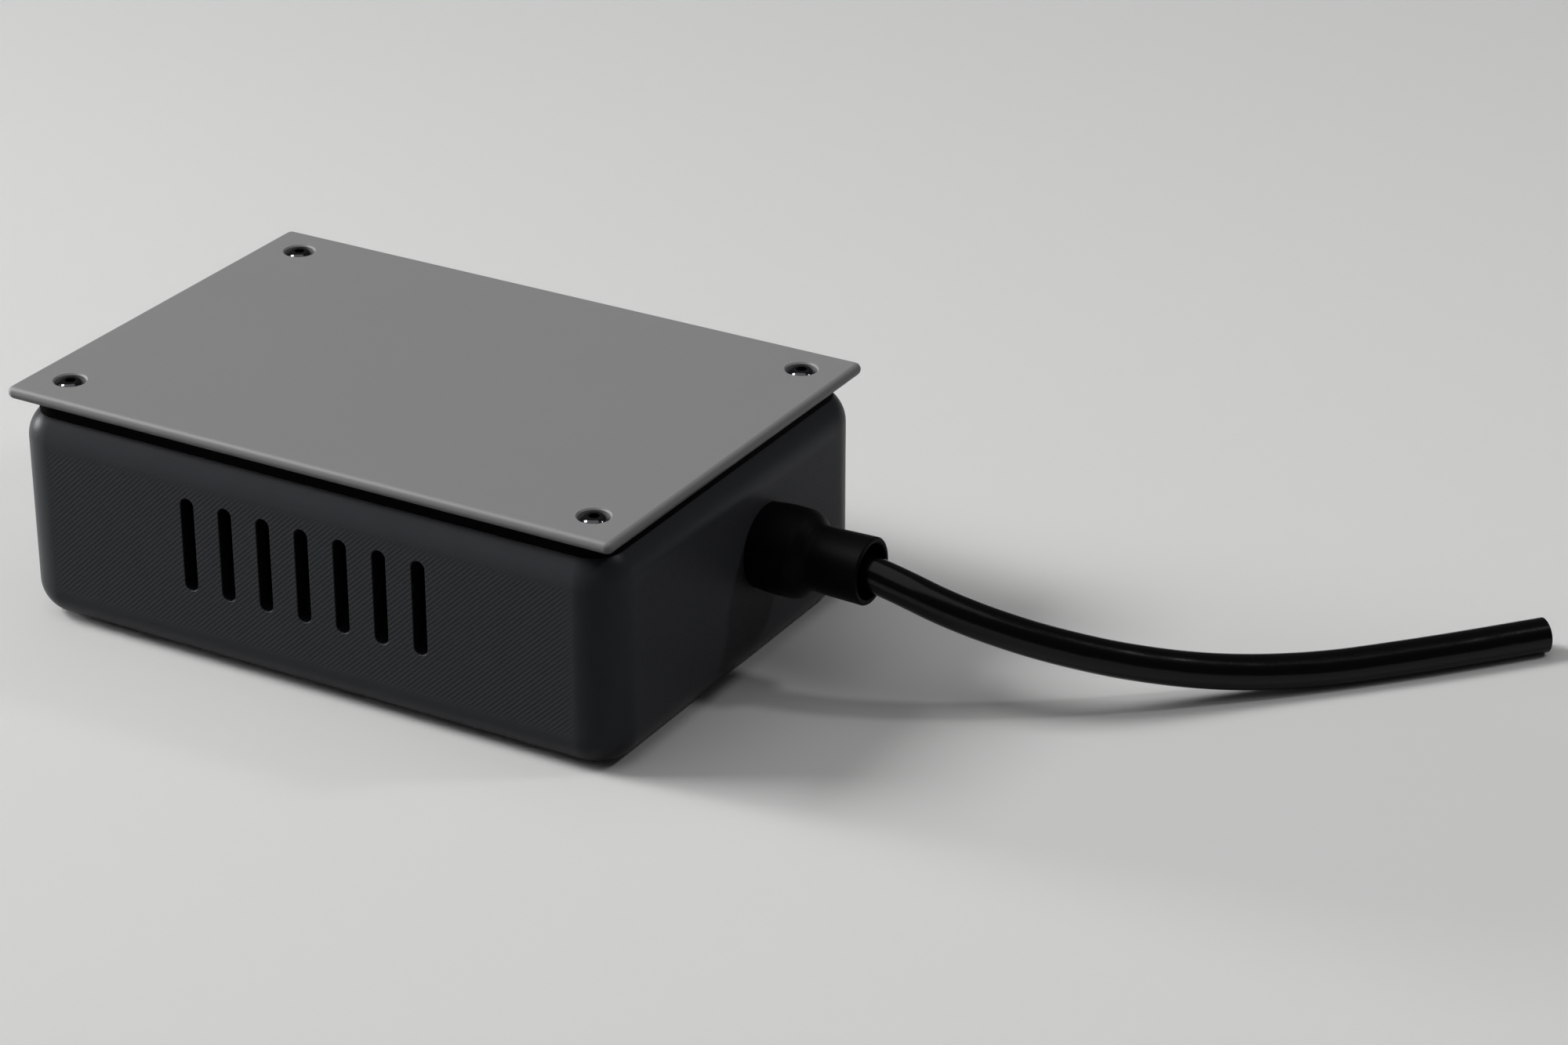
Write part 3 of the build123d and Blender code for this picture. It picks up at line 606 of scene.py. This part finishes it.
def corner_blocks(bottom, top):
    """Blocks that hold the cover screws, rounded towards the middle and reaching past the housing."""
    side = BODY_Y
    block = slab(side, side, bottom, top)
    inner = [edge for edge in block.edges if all(vert.co.x < 0 and vert.co.y < 0 for vert in edge.verts)]
    rounded(block, inner, BLOCK_REACH, 10)
    moved(block, SCREW_X - BLOCK_REACH + side / 2, SCREW_Y - BLOCK_REACH + side / 2)
    for axis in ("X", "Y"):
        bmesh.ops.mirror(block, geom=whole(block), axis=axis, merge_dist=0.0)
    bmesh.ops.recalc_face_normals(block, faces=block.faces)
    return block


def cavity():
    """Space inside the housing, narrowing to its mouth; what stands inside is left out of it."""
    mouth_bottom = RIM - RIM_DEPTH
    ledge = OPENING_INSET - WALL
    room = body_slab(WALL, BASE, mouth_bottom, 14)
    shoulder = (0, 0, mouth_bottom - ledge)
    bmesh.ops.bisect_plane(room, geom=whole(room), dist=0.0001, plane_co=shoulder, plane_no=(0, 0, 1))
    rounded(room, level_edges(room, BASE), INNER_ROUND, 6)
    ceiling = [vert for vert in room.verts if abs(vert.co.z - mouth_bottom) < 0.001]
    bmesh.ops.scale(room, verts=ceiling, vec=(1 - ledge / BODY_X, 1 - ledge / BODY_Y, 1))
    pillar_places = corners(BOARD_X - BOARD_SCREW_INSET, BOARD_Y - BOARD_SCREW_INSET)
    pillars = at_places(rod(PILLAR_RADIUS, 0, PILLAR_TOP, 32), pillar_places)
    cradle = moved(slab(CRADLE_LENGTH, CRADLE_WIDTH, 0, CRADLE_TOP), CRADLE_X, CABLE_Y)
    cradle = carved(cradle, on_lead(rod(CORD_RADIUS, -CRADLE_LENGTH, CRADLE_LENGTH), CRADLE_X))
    room = carved(room, corner_blocks(0, RIM), pillars, cradle)
    mouth = body_slab(OPENING_INSET, mouth_bottom - LAP, RIM + PAST, 8)
    return [room, carved(mouth, corner_blocks(0, RIM + 2 * PAST))]


def vents():
    """Row of upright slots through the front wall, their outer edges rounded over."""
    slot = bmesh.new()
    outlines = []
    behind_face = [
        (-PAST, PAST + VENT_ROUNDING),
        (0, VENT_ROUNDING),
        (VENT_ROUNDING, 0),
        (WALL + PAST, 0),
    ]
    # Half a step of turn puts no point level with the middle, where the ring is drawn out.
    steps = 40
    standing = Matrix.Rotation(math.pi / 2, 4, "X") @ Matrix.Rotation(math.pi / steps, 4, "Z")
    for depth, growth in behind_face:
        radius = VENT_WIDTH / 2 + growth
        ring = bmesh.ops.create_circle(slot, segments=steps, radius=radius, matrix=standing)["verts"]
        for half in (-1, 1):
            end = [vert for vert in ring if vert.co.z * half > 0]
            bmesh.ops.translate(slot, verts=end, vec=(0, 0, half * (VENT_LENGTH - VENT_WIDTH) / 2))
        bmesh.ops.translate(slot, verts=ring, vec=(0, depth - BODY_Y, VENT_HEIGHT))
        outlines.append(list({edge for vert in ring for edge in vert.link_edges}))
    for near, far in zip(outlines, outlines[1:]):
        bmesh.ops.bridge_loops(slot, edges=near + far)
    span = (VENT_COUNT - 1) * VENT_PITCH
    return at_places(filled(slot), [(i * VENT_PITCH - span / 2, 0, 0) for i in range(VENT_COUNT)])


def housing():
    """Moulded body: large rounded edges, cut flat where the sealing frame seats."""
    form = body_slab(0, 0, CROWN)
    rounded(form, level_edges(form, 0, CROWN), EDGE_ROUND, 14)
    rim_plane = {"plane_co": (0, 0, RIM), "plane_no": (0, 0, 1), "clear_outer": True}
    bmesh.ops.bisect_plane(form, geom=whole(form), dist=0.0001, **rim_plane)
    cable_hole = on_lead(rod(NECK_RADIUS, -2 * WALL, 2 * WALL), BODY_X)
    insert_hole = [
        (0, RIM - PILOT_DEPTH),
        (SCREW_HOLE, RIM - PILOT_DEPTH),
        (SCREW_HOLE, RIM - INSERT_LENGTH),
        (INSERT_HOLE, RIM - INSERT_LENGTH),
        (INSERT_HOLE, RIM + PAST),
        (0, RIM + PAST),
    ]
    insert_holes = at_places(turned(insert_hole, steps=32), corners(SCREW_X, SCREW_Y))
    form = carved(filled(form), *cavity(), vents(), cable_hole, insert_holes)
    return piece("housing", form, charcoal_abs, "base_shell")


def sealing_frame():
    """Rubber frame between housing and plate, with a softened lip and a pad round each screw."""
    form = body_slab(FRAME_INSET, RIM, PLATE_BOTTOM)
    rounded(form, level_edges(form, RIM, PLATE_BOTTOM), FRAME_LIP, 3)
    opening = body_slab(OPENING_INSET, RIM - PAST, PLATE_BOTTOM + PAST, 8)
    opening = carved(opening, corner_blocks(RIM - 2 * PAST, PLATE_BOTTOM + 2 * PAST))
    hole = rod(SCREW_HOLE, RIM - PAST, PLATE_BOTTOM + PAST, 32)
    form = carved(form, opening, at_places(hole, corners(SCREW_X, SCREW_Y)))
    return piece("rubber_frame", form, nitrile, "sealing_frame")


def cover_plate():
    """Flat plate with a round nose all round and a counterbored hole in each corner."""
    form = slab(2 * PLATE_X, 2 * PLATE_Y, PLATE_BOTTOM, PLATE_TOP, PLATE_CORNER)
    rounded(form, level_edges(form, PLATE_BOTTOM, PLATE_TOP), NOSE, 8)
    seat = PLATE_TOP - HEAD_HEIGHT
    hole = [
        (0, PLATE_BOTTOM - PAST),
        (SCREW_HOLE, PLATE_BOTTOM - PAST),
        (SCREW_HOLE, seat),
        (COUNTERBORE, seat),
        (COUNTERBORE, PLATE_TOP - COUNTERBORE_EDGE),
        (COUNTERBORE + COUNTERBORE_EDGE, PLATE_TOP),
        (COUNTERBORE + COUNTERBORE_EDGE, PLATE_TOP + PAST),
        (0, PLATE_TOP + PAST),
    ]
    form = carved(form, at_places(turned(hole), corners(SCREW_X, SCREW_Y)))
    return piece("top_plate", form, grey_abs, "cover_plate")


def cover_screws():
    """Button head screws, each a truncated dome with a hexagon socket."""
    shank = [
        (0, -SCREW_LENGTH),
        (SCREW_RADIUS - SCREW_POINT, -SCREW_LENGTH),
        (SCREW_RADIUS, SCREW_POINT - SCREW_LENGTH),
        (SCREW_RADIUS, 0),
    ]
    # The head's side rounds inwards from its rim to its flat top.
    centre = HEAD_RADIUS - HEAD_ROUND
    last = math.acos((HEAD_TOP_RADIUS - centre) / HEAD_ROUND)
    rise = HEAD_HEIGHT / math.sin(last)
    angles = [last * step / 6 for step in range(7)]
    side = [(centre + HEAD_ROUND * math.cos(angle), rise * math.sin(angle)) for angle in angles]
    screw = filled(turned([*shank, *side], steps=48))
    socket = bmesh.new()
    radius = SOCKET_FLATS / math.sqrt(3)
    depth = SOCKET_DEPTH + PAST
    hexagon = {"segments": 6, "radius1": radius, "radius2": radius, "depth": depth}
    bmesh.ops.create_cone(socket, cap_ends=True, **hexagon)
    moved(socket, z=HEAD_HEIGHT + PAST - depth / 2)
    screw = moved(carved(screw, socket), z=PLATE_TOP - HEAD_HEIGHT)
    form = at_places(screw, corners(SCREW_X, SCREW_Y))
    return piece("button_screws", form, painted_dark_reflection, "cover_screws")


def strain_relief():
    """Soft boot: a bell at the wall, an easy curve down to a sleeve, and the sleeve's open mouth. Its neck
    goes through the wall to a flange inside."""
    profile = [
        (BOOT_BORE, -WALL - FLANGE_THICKNESS),
        (FLANGE_END_RADIUS, -WALL - FLANGE_THICKNESS),
        (FLANGE_RADIUS, -WALL),
        (NECK_RADIUS, -WALL),
        (NECK_RADIUS, 0),
        (BELL_RADIUS, 0, 0.25),
        (BELL_RADIUS + BELL_SWELL, BELL_LENGTH / 2, 2.0),
        (BELL_RADIUS + BELL_SWELL / 2, BELL_LENGTH, 0.95),
        (SLEEVE_RADIUS, SLEEVE_START, 1.1),
        (MOUTH_RADIUS, BOOT_LENGTH, 0.45),
        (MOUTH_RADIUS - MOUTH_WALL, BOOT_LENGTH, 0.4),
        (MOUTH_RADIUS - MOUTH_WALL, BOOT_LENGTH - MOUTH_DEPTH, 0.6),
        (BOOT_BORE, BOOT_LENGTH - MOUTH_DEPTH),
        (BOOT_BORE, -WALL - FLANGE_THICKNESS),
    ]
    form = on_lead(turned(profile), BODY_X)
    return piece("boot", form, boot_rubber, "strain_relief", sharp=40)


def cut_end():
    """The three cores in the lead's cut face, each with its copper."""
    end = Vector(CORD_ROUTE[-1])
    direction = (end - Vector(CORD_ROUTE[-2])).normalized()
    turn = direction.to_track_quat("Z", "Y").to_matrix()
    jacket = [
        (CORE_BORE, -BURIED),
        (CORE_RADIUS, -BURIED),
        (CORE_RADIUS, CORE_PROUD, CORE_EDGE),
        (CORE_BORE, CORE_PROUD),
        (CORE_BORE, -BURIED),
    ]
    length = BURIED + STRAND_PROUD
    strand = {"segments": 16, "radius1": STRAND_FOOT_RADIUS, "radius2": STRAND_RADIUS, "depth": length}
    colours = [("brown", brown_sheath), ("blue", blue_sheath), ("green", green_sheath)]
    made = []
    copper = bmesh.new()
    for number, (colour, finish) in enumerate(colours):
        angle = math.tau * number / len(colours)
        x, y = CORE_SPREAD * math.cos(angle), CORE_SPREAD * math.sin(angle)
        core = moved(turned(jacket, 24), x, y)
        bmesh.ops.rotate(core, verts=core.verts, matrix=turn)
        made.append(piece(f"core_{colour}", moved(core, *end), finish))
        points = bmesh.ops.create_cone(copper, cap_ends=True, **strand)["verts"]
        bmesh.ops.translate(copper, verts=points, vec=(x, y, STRAND_PROUD - length / 2))
    bmesh.ops.rotate(copper, verts=copper.verts, matrix=turn)
    made.append(piece("core_copper", moved(copper, *end), bare_copper))
    return made


housing()
sealing_frame()
cover_plate()
cover_screws()
boot = strain_relief()
cores = cut_end()

route_line.materials.append(sheath)
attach(lead, "root")
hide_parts("cord")

# Pieces inside the closed housing keep their solids and get the finish of the real ones
INNER_FINISH = {
    "threaded_inserts": turned_brass,
    "cord_inner": sheath,
    "core_wire_left": brown_sheath,
    "core_wire_middle": blue_sheath,
    "core_wire_right": green_sheath,
    "cord_clamp": black_nylon,
    "clamp_screws": zinc,
    "circuit_board": laminate,
    "board_screws": zinc,
    "terminal_block": green_nylon,
    "terminal_screws": zinc,
    "fuse_clips": tin,
    "fuse_tube": glass,
    "fuse_caps": tin,
    "transformer_core": core_steel,
    "transformer_bobbin": black_nylon,
    "transformer_winding": winding_copper,
    "choke_core": core_steel,
    "choke_winding": choke_copper,
    "bridge_rectifier": black_nylon,
    "capacitor_front": blue_sleeve,
    "capacitor_back": blue_sleeve,
    "film_capacitor": red_epoxy,
    "heat_sink": anodised,
    "regulator": black_nylon,
    "regulator_screw": zinc,
    "controller_chip": black_nylon,
    "resistors": tan_lacquer,
}
for name, finish in INNER_FINISH.items():
    nodes[name].data.materials.clear()
    nodes[name].data.materials.append(finish)

# Plain pale floor and soft studio light. Places and sizes are in metres, spreads in degrees and
# powers in watts.
FLOOR_RADIUS = 4.0
LAMP_AIM = Vector((0.03, 0.01, 0.02))
LAMPS = [
    ("overhead", (-0.3, -0.6, 3.3), 4.0, 180, 41.0),
    ("left", (-1.99, -0.72, 2.12), 1.0, 180, 60.0),
    ("low", (-1.45, -0.2, 0.31), 0.4, 40, 0.9),
    ("back", (0.81, 0.47, 0.90), 0.12, 180, 2.0),
]
floor_form = bmesh.new()
bmesh.ops.create_circle(floor_form, segments=96, radius=FLOOR_RADIUS, cap_ends=True)
floor_mesh = bpy.data.meshes.new("floor")
floor_form.to_mesh(floor_mesh)
floor_form.free()
floor_mesh.materials.append(floor_paint())
floor = bpy.data.objects.new("floor", floor_mesh)
scene.collection.objects.link(floor)

for name, place, size, spread, power in LAMPS:
    lamp = bpy.data.lights.new(name, "AREA")
    lamp.size = size
    lamp.spread = math.radians(spread)
    lamp.energy = power
    holder = bpy.data.objects.new(name, lamp)
    holder.location = place
    holder.rotation_euler = (LAMP_AIM - Vector(place)).to_track_quat("-Z", "Y").to_euler()
    scene.collection.objects.link(holder)

world = bpy.data.worlds.new("studio")
world.use_nodes = True
sky = world.node_tree.nodes["Background"]
sky.inputs["Color"].default_value = linear("#f2f2f2")
sky.inputs["Strength"].default_value = 0.08
scene.world = world
scene.view_settings.view_transform = "Standard"
